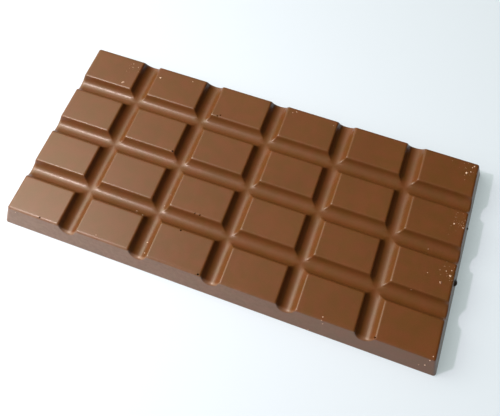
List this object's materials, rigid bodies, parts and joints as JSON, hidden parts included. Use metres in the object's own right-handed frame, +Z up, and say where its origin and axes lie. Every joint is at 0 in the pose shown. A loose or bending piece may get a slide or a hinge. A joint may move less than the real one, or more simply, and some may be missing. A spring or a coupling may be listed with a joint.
{
  "type": "chocolate bar",
  "caption": "Moulded bar of milk chocolate: a low slab with sloping sides, its top divided by round-bottomed grooves into equal raised pieces for breaking off.",
  "frame": {"origin": "on the surface the bar lies on, under the middle of the bar", "axes": "+X along the bar's length, +Y across it, +Z up from the flat back to the moulded top"},
  "size_m": [0.1498, 0.0744, 0.0087],
  "materials": {
    "milk_chocolate": "satin moulded chocolate, slightly marked"
  },
  "bodies": {
    "root": {"chocolate_bar": "milk_chocolate"}
  },
  "joints": []
}
